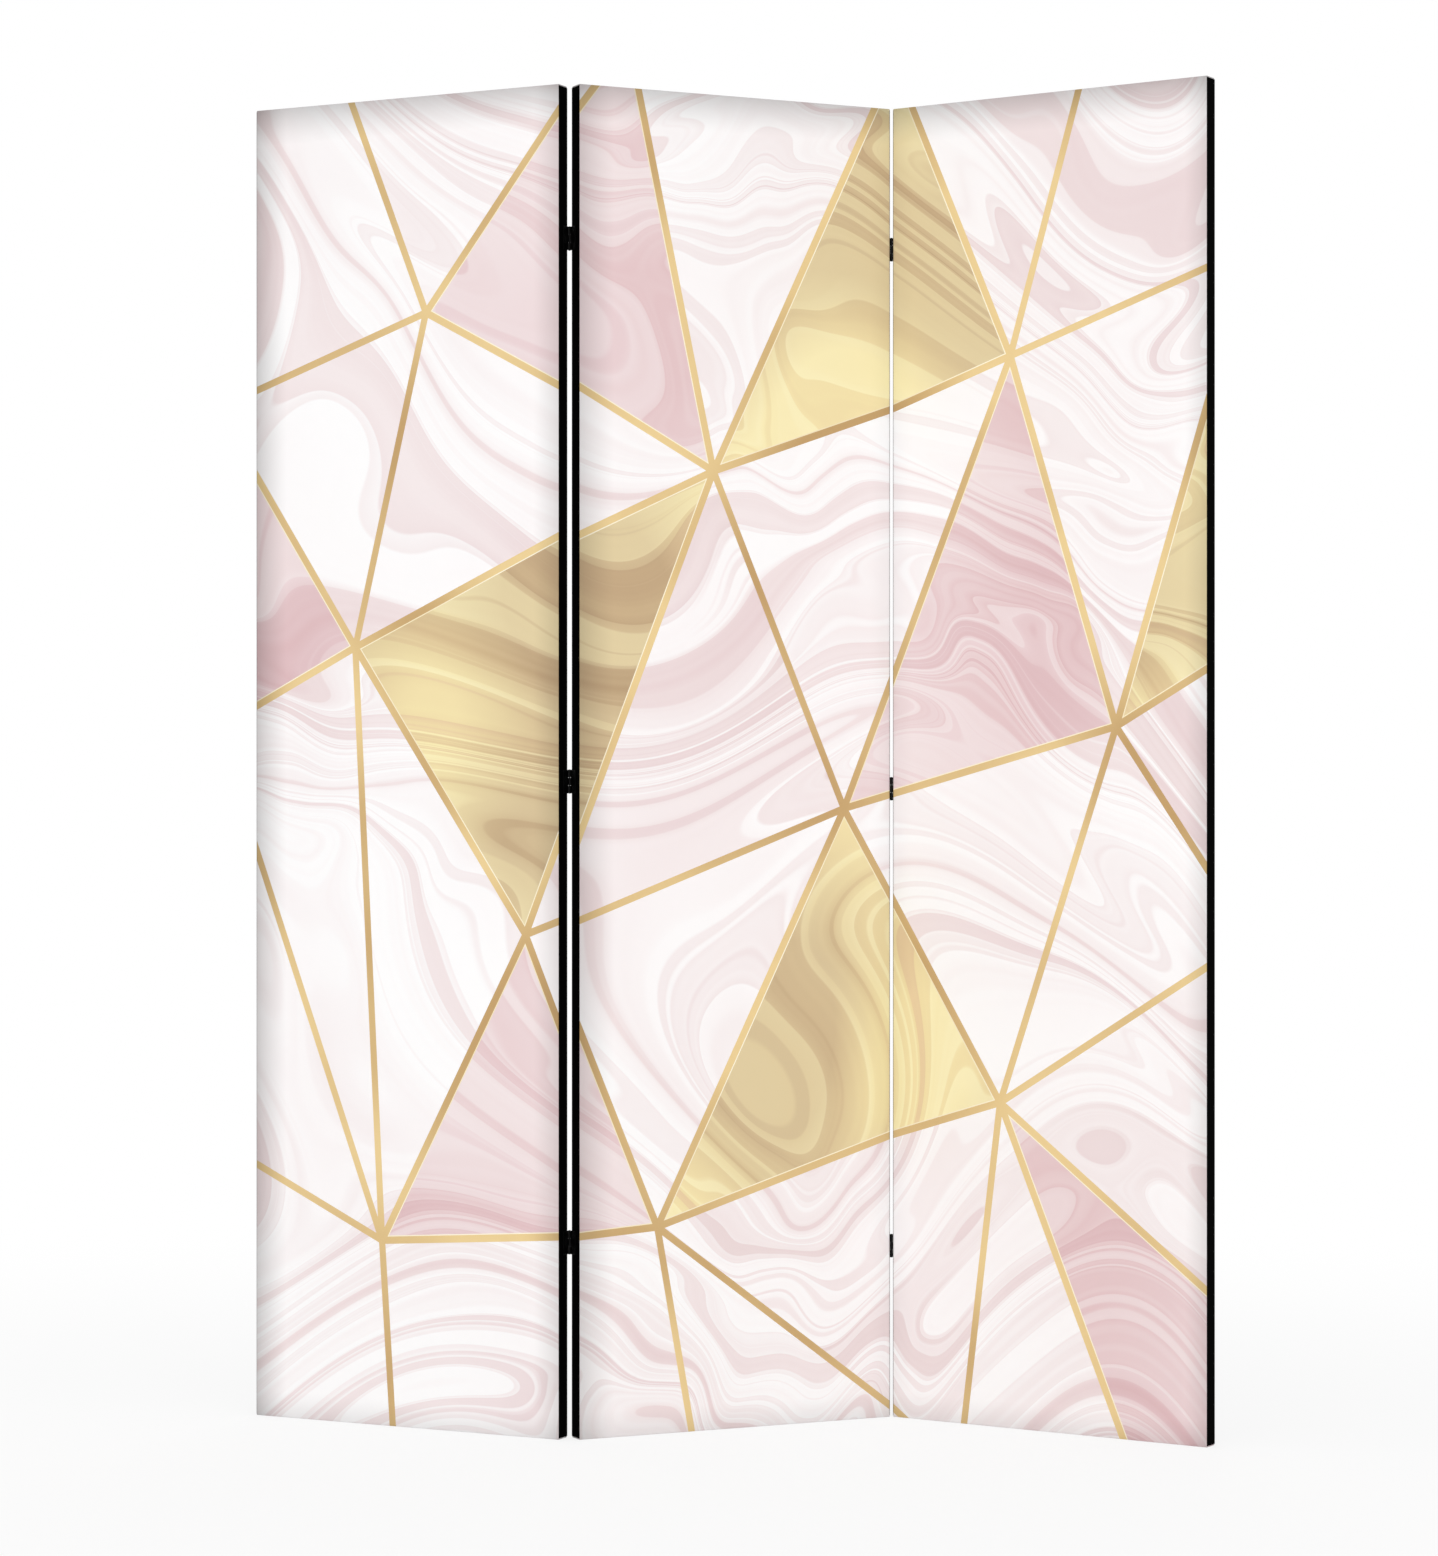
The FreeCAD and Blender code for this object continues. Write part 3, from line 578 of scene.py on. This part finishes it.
def metal_material(name, light, dark, roughness, grit):
    """Galvanised wire or a blackened screw: metal with fine marks, uneven in gloss."""
    material, tree, shader = new_material(name)
    place = add(tree, "ShaderNodeTexCoord").outputs["Object"]
    marks = add(
        tree, "ShaderNodeTexNoise", {"Vector": place, "Scale": 1 / grit, "Detail": 3.0}
    )
    colour = fill_ramp(
        add(tree, "ShaderNodeValToRGB", {"Fac": marks.outputs["Fac"]}), [(0.3, dark), (0.7, light)]
    )
    rough = add(
        tree, "ShaderNodeMapRange",
        {"Value": marks.outputs["Fac"], "To Min": roughness - 0.08, "To Max": roughness + 0.08},
    )
    tree.links.new(colour, shader.inputs["Base Color"])
    tree.links.new(rough.outputs[0], shader.inputs["Roughness"])
    shader.inputs["Metallic"].default_value = 1.0
    return material


# The canvas.


def draw_print():
    """The whole picture as one flat sheet: facets with gold stripes between them."""
    mesh = bpy.data.meshes.new("print")
    names = list(CORNERS)
    mesh.from_pydata(
        [(x * MM, 0, z * MM) for x, z in CORNERS.values()], [],
        [[names.index(name) for name in corners.split()] for ink, corners in FACETS],
    )
    piece = bpy.data.objects.new("print", mesh)
    bpy.context.scene.collection.objects.link(piece)
    for material in print_materials():
        mesh.materials.append(material)
    for polygon, (ink, corners) in zip(mesh.polygons, FACETS):
        polygon.material_index = INKS.index(ink)
    start_edit(piece)
    choose(piece, "edges", lambda edge: not edge.is_boundary)
    bpy.ops.mesh.bevel(
        offset_type="OFFSET", offset=LINE_WIDTH / 2, segments=1, affect="EDGES",
        clamp_overlap=False, loop_slide=False, material=INKS.index("line"),
    )
    stop_edit()
    edge_with_hairlines(piece)
    return piece


def edge_with_hairlines(piece):
    """A thin cream line just inside each gold and rose facet."""
    start_edit(piece, "FACE")
    tinted = [INKS.index("gold"), INKS.index("rose")]
    choose(piece, "faces", lambda face: face.material_index in tinted)
    bpy.ops.mesh.inset(thickness=HAIRLINE_WIDTH, use_individual=True, use_boundary=True)
    mesh = bmesh.from_edit_mesh(piece.data)
    for face in mesh.faces:
        if face.material_index in tinted and not face.select:
            face.material_index = INKS.index("hairline")
    bmesh.update_edit_mesh(piece.data)
    stop_edit()


def falloff(distance, depth, reach):
    """How much of the print's colour is left under the painted shade at a distance from an edge;
    depth is how much darker the painted shade makes the edge itself.
    """
    return 1 - depth * max(0, 1 - max(0, distance) / (reach * MM)) ** SHADE_POWER


def shade_at(point, size, shades):
    """The painted shade at a place of the panel's front, as a factor on the print's colour."""
    distances = {
        "left": point.x, "right": size.x - point.x, "bottom": point.z, "top": size.z - point.z,
    }
    return math.prod(falloff(distances[side], *shades[side]) for side in distances)


def picture_place(face, point, size, start):
    """Where a corner of a face lies in the picture, which goes on round the edges."""
    u, v = point.x, point.z
    sideways = abs(face.normal.x)
    upwards = abs(face.normal.z)
    if sideways > 0.01 and sideways >= upwards:
        u = point.x - point.y if point.x < size.x / 2 else point.x + point.y
    elif upwards > 0.01:
        v = point.z - point.y if point.z < size.z / 2 else point.z + point.y
    return start + u, v


def wrap_canvas(piece, size):
    """Folds the canvas back round the frame and onto its back, and rounds the folds."""
    start_edit(piece)
    choose(piece, "edges", lambda edge: edge.is_boundary)
    bpy.ops.mesh.extrude_region_move(TRANSFORM_OT_translate={"value": (0, size.y, 0)})
    # The rim goes on inwards, as the flap that is turned in on the back.
    bpy.ops.mesh.extrude_region_move(TRANSFORM_OT_translate={"value": (0, 0, 0)})
    middle = (size.x / 2, size.y, size.z / 2)
    narrowed = (1 - 2 * CANVAS_FLAP / size.x, 1, 1 - 2 * CANVAS_FLAP / size.z)
    bpy.ops.transform.resize(value=narrowed, center_override=middle)

    def on_outline(point):
        at_side = near(point.x, 0) or near(point.x, size.x)
        return at_side or near(point.z, 0) or near(point.z, size.z)

    def along(depth):
        return lambda edge: all(on_outline(v.co) and near(v.co.y, depth) for v in edge.verts)

    # Each fold's depth and radius, and how many faces go round it.
    for depth, radius, steps in ((size.y, BACK_EDGE_RADIUS, 5), (0, FRONT_EDGE_RADIUS, 3)):
        choose(piece, "edges", along(depth))
        bpy.ops.mesh.bevel(
            offset_type="OFFSET", offset=radius, segments=steps, affect="EDGES",
            clamp_overlap=False, loop_slide=True,
        )
    stop_edit()


def cut_out(piece, size, shades):
    """Cuts the picture to the panel's front, and along the lines where its painted shade changes."""
    start_edit(piece)
    for point, normal in (
        ((0, 0, 0), (-1, 0, 0)), (size, (1, 0, 0)), ((0, 0, 0), (0, 0, -1)), (size, (0, 0, 1)),
    ):
        cut(point, normal, clear_outer=True)
    for side, (_, reach) in shades.items():
        for share in SHADE_CUT_SHARES:
            inset = share * reach * MM
            x = inset if side == "left" else size.x - inset
            z = inset if side == "bottom" else size.z - inset
            if side in SIDES:
                cut((x, 0, 0), (1, 0, 0))
            else:
                cut((0, 0, z), (0, 0, 1))
    stop_edit()


def draw_canvas(panel, number, picture, matrix):
    """One panel's canvas, cut from the picture and wrapped round the frame."""
    low, high = own_box(panel + "_printed_canvas", matrix)
    size = high - low
    tape_low = own_box(panel + "_left_edge_tape", matrix)[0]
    start = number * (size.x + 2 * (low.x - tape_low.x) + HINGE_GAP)
    piece = picture.copy()
    piece.data = picture.data.copy()
    piece.name = panel + "_canvas"
    bpy.context.scene.collection.objects.link(piece)
    piece.data.transform(Matrix.Translation((-start, 0, 0)))
    cut_out(piece, size, PAINTED_EDGE_SHADES[panel])
    wrap_canvas(piece, size)
    face_outwards(piece, Vector((0, -1, 0)))
    mesh = piece.data
    places = mesh.uv_layers.new(name="print")
    for polygon in mesh.polygons:
        for loop in polygon.loop_indices:
            point = mesh.vertices[mesh.loops[loop].vertex_index].co
            places.data[loop].uv = picture_place(polygon, point, size, start)
    # Painted shade towards the panel's edges, kept on the points for the print's materials.
    shades = mesh.attributes.new("painted_shade", "FLOAT_VECTOR", "POINT")
    for vertex, painted_shade in zip(mesh.vertices, shades.data):
        painted_shade.vector = [shade_at(vertex.co, size, PAINTED_EDGE_SHADES[panel])] * 3
    give_thickness(piece, CANVAS_THICKNESS)
    put_on_panel(piece, panel, matrix, panel + "_printed_canvas")


# The back cloth.

CLOTH_GRID = (90, 340)
# How far it sinks between the bars, and how soon beside a bar.
CLOTH_SAG = 2.4 * MM
CLOTH_EASE = 30 * MM
CREASE_DEPTH = 1.6 * MM
CREASE_WIDTH = 60 * MM
CREASE_LENGTH = 260 * MM
# The step down past the edge of the canvas that is turned in under it.
FLAP_STEP = 0.8 * MM
FLAP_BLEND = 3 * MM
# How far it stands up between the staples. It rises over the first length past the tape, stays up
# until the second length short of that edge of the canvas, and is flat again at the third length
# past it. The last length is how wide a staple pulls it down.
BULGE = 0.8 * MM
BULGE_RISE = 5 * MM
BULGE_HOLD = 4 * MM
BULGE_REACH = 24 * MM
PUCKER_WIDTH = 13 * MM


def hollow(point, bars):
    """How far the stretched back cloth sinks between the bars, from 0 on a bar to nearly 1."""
    beside = min(
        max(low.x - point.x, point.x - high.x, low.z - point.z, point.z - high.z, 0)
        for low, high in bars
    )
    return 1 - math.exp(-beside / CLOTH_EASE)


def crease(point, number):
    """Soft creases that run up and down where the cloth is free, from about -0.5 to 0.5."""
    return noise.noise(Vector((point.x / CREASE_WIDTH, point.z / CREASE_LENGTH, number)))


def smooth_step(value, start, end):
    share = min(1, max(0, (value - start) / (end - start)))
    return share * share * (3 - 2 * share)


def bulge(point, staples, beside, below):
    """How far the cloth stands up between the staples, from 0 at a staple to nearly 1.

    beside and below are its distances from the panel's sides and from its top or bottom. The
    tape holds it flat along the sides.
    """
    nearest = min((point.x - staple.x) ** 2 + (point.z - staple.z) ** 2 for staple in staples)
    free = 1 - math.exp(-nearest / PUCKER_WIDTH ** 2)
    past_tape = smooth_step(beside, TAPE_FLAP, TAPE_FLAP + BULGE_RISE)
    past_flap = smooth_step(
        min(beside, below), CANVAS_FLAP - BULGE_HOLD, CANVAS_FLAP + BULGE_REACH
    )
    return free * past_tape * (1 - past_flap)


def staple_middles(panel, matrix):
    """The middle of each staple, in the panel's frame."""
    inverse = matrix.inverted()
    mesh = bmesh.new()
    mesh.from_mesh(nodes[panel + "_staples"].data)
    bmesh.ops.remove_doubles(mesh, verts=mesh.verts, dist=0.001 * MM)
    middles = []
    met = set()
    for first in mesh.verts:
        if first in met:
            continue
        met.add(first)
        staple = [first]
        for vertex in staple:
            for edge in vertex.link_edges:
                other = edge.other_vert(vertex)
                if other not in met:
                    met.add(other)
                    staple.append(other)
        middles.append(inverse @ (sum((vertex.co for vertex in staple), Vector()) / len(staple)))
    mesh.free()
    return middles


def draw_back_cloth(panel, number, matrix, material):
    """The black cloth on the back: it shows the edge of the canvas under it and the rails."""
    low, high = own_box(panel + "_backing_cloth", matrix)
    canvas_low, canvas_high = own_box(panel + "_printed_canvas", matrix)
    bars = [own_box(f"{panel}_{rail}", matrix) for rail in RAILS]
    bars += [own_box(f"{panel}_{side}_stile", matrix) for side in SIDES]
    staples = staple_middles(panel, matrix)
    middle = (low + high) / 2
    bpy.ops.mesh.primitive_grid_add(
        x_subdivisions=CLOTH_GRID[0], y_subdivisions=CLOTH_GRID[1], size=1,
        location=(middle.x, high.y, middle.z), rotation=(-math.pi / 2, 0, 0),
    )
    piece = bpy.context.object
    piece.name = panel + "_back_cloth"
    piece.scale = (high.x - low.x, high.z - low.z, 1)
    bpy.ops.object.transform_apply(location=True, rotation=True, scale=True)
    mesh = piece.data
    for vertex in mesh.vertices:
        point = vertex.co
        beside = min(point.x - canvas_low.x, canvas_high.x - point.x)
        below = min(point.z - canvas_low.z, canvas_high.z - point.z)
        past_flap = smooth_step(min(beside, below), CANVAS_FLAP, CANVAS_FLAP + FLAP_BLEND)
        slack = CLOTH_SAG + CREASE_DEPTH * crease(point, number)
        sunk = past_flap * (FLAP_STEP + slack * hollow(point, bars))
        point.y += BULGE * bulge(point, staples, beside, below) - sunk
    lay_flat(mesh, lambda point: (point.x, point.z))
    mesh.materials.append(material)
    face_outwards(piece, Vector((0, 1, 0)))
    give_thickness(piece, CLOTH_THICKNESS)
    put_on_panel(piece, panel, matrix, panel + "_backing_cloth")


# The edge tape.

TAPE_BEND_STEPS = 8
TAPE_LENGTHS = 12


def draw_tape(panel, side, matrix, material):
    """Black tape on one side of a panel, lapped round its rounded edge onto the back."""
    node = f"{panel}_{side}_edge_tape"
    low, high = own_box(node, matrix)
    outer = low.x if side == "left" else high.x
    inwards = 1 if side == "left" else -1
    bend = TAPE_BEND_RADIUS
    straight = high.y - bend - TAPE_FRONT_MARGIN
    bpy.ops.mesh.primitive_plane_add(
        size=1, location=(outer, TAPE_FRONT_MARGIN + straight / 2, (low.z + high.z) / 2),
        rotation=(0, math.pi / 2, 0),
    )
    piece = bpy.context.object
    piece.name = f"{panel}_{side}_tape"
    piece.scale = (high.z - low.z, straight, 1)
    bpy.ops.object.transform_apply(location=True, rotation=True, scale=True)
    start_edit(piece)
    choose(piece, "edges", lambda edge: all(near(v.co.y, high.y - bend) for v in edge.verts))
    bpy.ops.mesh.spin(
        steps=TAPE_BEND_STEPS, angle=inwards * math.pi / 2,
        center=(outer + inwards * bend, high.y - bend, 0), axis=(0, 0, 1),
    )
    bpy.ops.mesh.extrude_region_move(
        TRANSFORM_OT_translate={"value": (inwards * (TAPE_FLAP - bend), 0, 0)}
    )
    stop_edit()
    # At its ends the tape keeps inside the rounded upper and lower edge of the back.
    top_centre = own_box(panel + "_printed_canvas", matrix)[1].z - bend
    bottom_centre = bend
    for vertex in piece.data.vertices:
        point = vertex.co
        back = point.y - (high.y - bend)
        if back > 0:
            reach = math.sqrt(max(0, bend ** 2 - back ** 2))
            point.z = min(max(point.z, bottom_centre - reach), top_centre + reach)
    # Shorter lengths keep its faces from being slivers.
    start_edit(piece)
    for n in range(1, TAPE_LENGTHS):
        cut((0, 0, low.z + (high.z - low.z) * n / TAPE_LENGTHS), (0, 0, 1))
    stop_edit()
    lay_flat(piece.data, lambda point: (point.y + abs(point.x - outer), point.z))
    piece.data.materials.append(material)
    face_outwards(piece, Vector((-inwards, 0, 0)))
    give_thickness(piece, TAPE_THICKNESS)
    put_on_panel(piece, panel, matrix, node)


# The solids that stay get their finishes.


def finish_solids(turns):
    """Gives every solid its finish. turns holds each panel's turn from the row, in radians."""
    pine_light, pine_dark = "#E6CFA3", "#C49C68"
    upright_pine = wood_material(
        "planed pine, grain upright", pine_light, pine_dark, (0, math.pi / 2, 0)
    )
    steel = lacquered_steel_material()
    screws = metal_material("blackened steel screws", "#1B1B1D", "#0D0D0E", 0.5, 0.6 * MM)
    wire = metal_material("galvanised steel wire", "#B9BABC", "#9A9B9E", 0.34, 0.8 * MM)
    for panel in PANELS:
        level = (0, 0, -turns[panel])
        pine = wood_material(f"planed pine, {panel} rails", pine_light, pine_dark, level)
        beech = wood_material(f"beech dowels, {panel}", "#D9B383", "#B98B5C", level)
        finishes = {rail: pine for rail in RAILS}
        finishes.update({f"{side}_stile": upright_pine for side in SIDES})
        finishes.update(rail_dowels=beech, staples=wire)
        for name, material in finishes.items():
            set_material(nodes[f"{panel}_{name}"], material)
    for name, node in nodes.items():
        if name.endswith(("_leaf", "_hinge_pin")):
            set_material(node, steel)
        elif name.endswith("_hinge_screws"):
            set_material(node, screws)


def set_material(node, material):
    node.data.materials.clear()
    node.data.materials.append(material)


# Floor, light and camera.

# The camera sees the floor under a veil of plain white, so that the screen's shadow is faint: this
# share of white up to the first radius in metres, and nothing but white past the second.
FLOOR_VEIL = 0.82
VEILED_RADIUS = 0.7
WHITE_RADIUS = 2.6
# How strongly the white surroundings light the screen. A strength of 1 looks white.
WORLD_LIGHT = 0.78
# Soft boxes, all aimed at one point: name, place, width of the box in metres, power in watts.
LIT_POINT = Vector((0, 0, 0.6))
LAMPS = [
    ("key softbox", (-2.6, -4.6, 0.9), 2.0, 38),
    ("fill softbox", (1.6, -5.2, 0.7), 1.6, 44),
    ("back softbox", (0.6, 4.6, 2.2), 2.6, 50),
]
# The camera is level, with its place in metres, its lens in millimetres on a 36 mm sensor, and
# its shift as a share of the picture's height.
CAMERA_PLACE = (-0.1608, -5.0873, 0.8245)
CAMERA_LENS = 91.30
CAMERA_SHIFT = (0.0765, 0.0076)


def seen_directly(tree):
    """1 for rays from the camera, from a shiny face or through glass, and 0 for the rest."""
    rays = add(tree, "ShaderNodeLightPath")
    seen = add(
        tree, "ShaderNodeMath",
        {0: rays.outputs["Is Camera Ray"], 1: rays.outputs["Is Glossy Ray"]}, operation="MAXIMUM",
    )
    shown = add(
        tree, "ShaderNodeMath", {0: seen.outputs[0], 1: rays.outputs["Is Transmission Ray"]},
        operation="MAXIMUM",
    )
    return shown.outputs[0]


def lay_floor():
    """A pale floor that takes the screen's shadow and looks white from the camera."""
    bpy.ops.mesh.primitive_plane_add(size=60, location=(0, 0, 0))
    floor = bpy.context.object
    floor.name = "floor"
    material, tree, shader = new_material("plain pale floor")
    shader.inputs["Base Color"].default_value = linear("#F4F4F4")
    shader.inputs["Roughness"].default_value = 0.9
    shader.inputs["Specular IOR Level"].default_value = 0.0
    glow = add(tree, "ShaderNodeEmission", {"Color": (1, 1, 1, 1), "Strength": 1.0})
    place = add(tree, "ShaderNodeTexCoord").outputs["Object"]
    distance = add(tree, "ShaderNodeVectorMath", {0: place}, operation="LENGTH")
    whiteness = add(
        tree, "ShaderNodeMapRange",
        {
            "Value": distance.outputs["Value"], "From Min": VEILED_RADIUS,
            "From Max": WHITE_RADIUS, "To Min": FLOOR_VEIL, "To Max": 1.0,
        },
        interpolation_type="SMOOTHSTEP",
    )
    share = add(
        tree, "ShaderNodeMath", {0: seen_directly(tree), 1: whiteness.outputs[0]},
        operation="MULTIPLY",
    )
    mixed = add(
        tree, "ShaderNodeMixShader",
        {0: share.outputs[0], 1: shader.outputs[0], 2: glow.outputs[0]},
    )
    tree.links.new(mixed.outputs[0], tree.nodes["Material Output"].inputs["Surface"])
    floor.data.materials.append(material)


def light_studio():
    """White surroundings that light the screen softly from everywhere, and three soft boxes."""
    world = bpy.data.worlds.new("studio")
    bpy.context.scene.world = world
    world.use_nodes = True
    tree = world.node_tree
    background = tree.nodes["Background"]
    strength = add(
        tree, "ShaderNodeMapRange",
        {"Value": seen_directly(tree), "To Min": WORLD_LIGHT, "To Max": 1.0},
    )
    background.inputs["Color"].default_value = (1, 1, 1, 1)
    tree.links.new(strength.outputs[0], background.inputs["Strength"])
    for name, place, width, power in LAMPS:
        lamp = bpy.data.lights.new(name, "AREA")
        lamp.shape = "SQUARE"
        lamp.size = width
        lamp.energy = power
        softbox = bpy.data.objects.new(name, lamp)
        softbox.location = place
        softbox.rotation_euler = (LIT_POINT - Vector(place)).to_track_quat("-Z", "Y").to_euler()
        softbox.visible_camera = False
        bpy.context.scene.collection.objects.link(softbox)


def place_camera():
    """Level with the middle of the screen, about five metres in front of it."""
    lens = bpy.data.cameras.new("camera")
    lens.lens = CAMERA_LENS
    lens.sensor_width = 36
    lens.shift_x, lens.shift_y = CAMERA_SHIFT
    camera = bpy.data.objects.new("camera", lens)
    camera.location = CAMERA_PLACE
    camera.rotation_euler = (math.pi / 2, 0, 0)
    bpy.context.scene.collection.objects.link(camera)
    bpy.context.scene.camera = camera


def main():
    bpy.context.scene.view_settings.view_transform = "Standard"
    matrices = {panel: panel_matrix(panel) for panel in PANELS}
    picture = draw_print()
    cloth = black_cloth_material()
    tape = black_tape_material()
    for number, (panel, matrix) in enumerate(matrices.items()):
        draw_canvas(panel, number, picture, matrix)
        draw_back_cloth(panel, number, matrix, cloth)
        for side in SIDES:
            draw_tape(panel, side, matrix, tape)
    bpy.data.objects.remove(picture)
    finish_solids({panel: math.atan2(m[1][0], m[0][0]) for panel, m in matrices.items()})
    lay_floor()
    light_studio()
    place_camera()


main()
